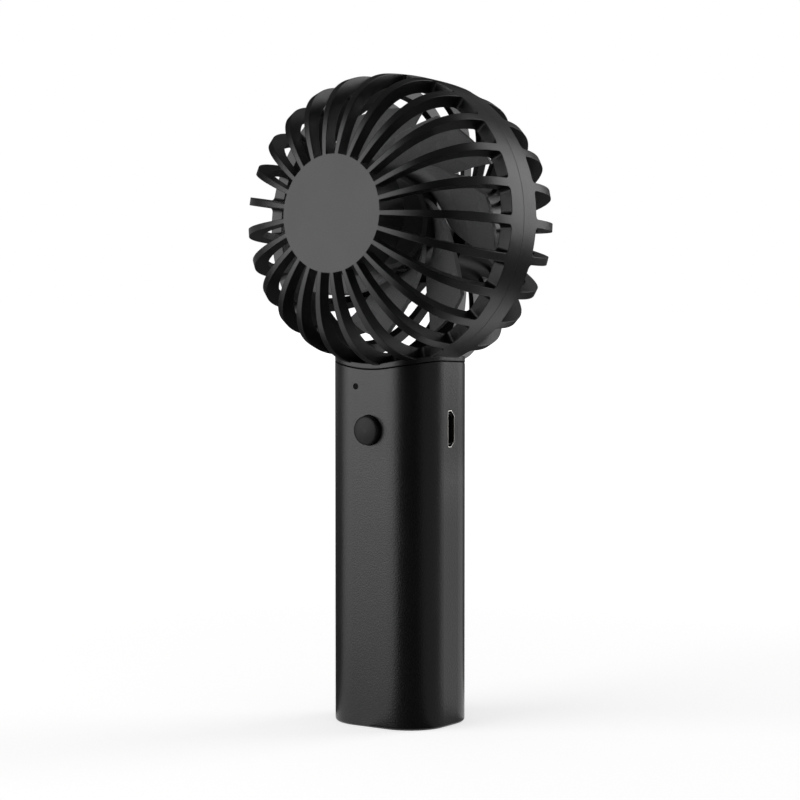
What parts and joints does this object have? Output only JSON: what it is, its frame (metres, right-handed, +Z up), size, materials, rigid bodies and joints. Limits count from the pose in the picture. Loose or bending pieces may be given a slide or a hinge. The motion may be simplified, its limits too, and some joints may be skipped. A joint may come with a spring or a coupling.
{
  "type": "handheld fan",
  "caption": "Handheld battery fan: a finned ball-shaped head with a bladed impeller inside, leaning back slightly on a slim rounded handle that stands on its flat base.",
  "frame": {"origin": "the middle of the flat base, on the surface the fan stands on", "axes": "+Z up along the handle; the head faces -Y and leans back 4 degrees; the charging socket faces +X"},
  "size_m": [0.071, 0.0584, 0.1573],
  "materials": {
    "handle_plastic": "fine spark-textured black, satin",
    "cage_plastic": "smooth satin black",
    "impeller_plastic": "satin dark grey",
    "button_plastic": "fine satin black",
    "inner_plastic": "plain black moulding",
    "chip_resin": "moulded black resin",
    "ferrite": "dull dark grey ferrite",
    "motor_steel": "plated sheet steel",
    "bright_steel": "ground bright steel",
    "core_steel": "stamped laminations",
    "screw_steel": "black zinc plating",
    "bronze": "sintered bronze",
    "contact_brass": "sprung brass sheet",
    "copper_wire": "enamelled winding wire",
    "cell_sleeve": "steel cell in a shrink sleeve, weighed as its filled mean",
    "nickel": "nickel strip",
    "board_laminate": "green solder mask",
    "led_resin": "clear cast resin",
    "clear_plastic": "smoked clear rod",
    "red_lead": "soft insulation",
    "black_lead": "soft insulation"
  },
  "bodies": {
    "frame": {"base_cap": "handle_plastic", "base_screws": "screw_steel", "battery_cell": "cell_sleeve", "battery_lead_black": "black_lead", "battery_lead_red": "red_lead", "battery_tabs": "nickel", "board_chips": "chip_resin", "board_inductor": "ferrite", "board_screws": "screw_steel", "carrier": "inner_plastic", "circuit_board": "board_laminate", "front_grille": "cage_plastic", "handle_shell": "handle_plastic", "light_pipe": "clear_plastic", "motor_brushes": "contact_brass", "motor_bushes": "bronze", "motor_can": "motor_steel", "motor_end_bell": "inner_plastic", "motor_lead_black": "black_lead", "motor_lead_red": "red_lead", "motor_magnets": "ferrite", "motor_screws": "screw_steel", "neck_screws": "screw_steel", "rear_cap": "cage_plastic", "rear_grille": "cage_plastic", "status_led": "led_resin", "switch_body": "inner_plastic", "usb_socket_shell": "bright_steel", "usb_socket_tongue": "inner_plastic", "wire_cover": "cage_plastic"},
    "rotor": {"impeller": "impeller_plastic", "motor_shaft": "bright_steel", "armature_core": "core_steel", "armature_coils": "copper_wire", "commutator": "contact_brass"},
    "button": {"button_cap": "button_plastic", "switch_plunger": "inner_plastic"}
  },
  "joints": [
    {"name": "impeller_spin", "type": "hinge", "parent": "frame", "child": "rotor", "pos_m": [0, 0, 0.1216], "axis": [0, -0.9976, 0.0698], "continuous": true},
    {"name": "button_press", "type": "slide", "parent": "frame", "child": "button", "axis": [0, 1, 0], "range_m": [0, 0.0005], "stiffness_N_per_m": 600}
  ]
}
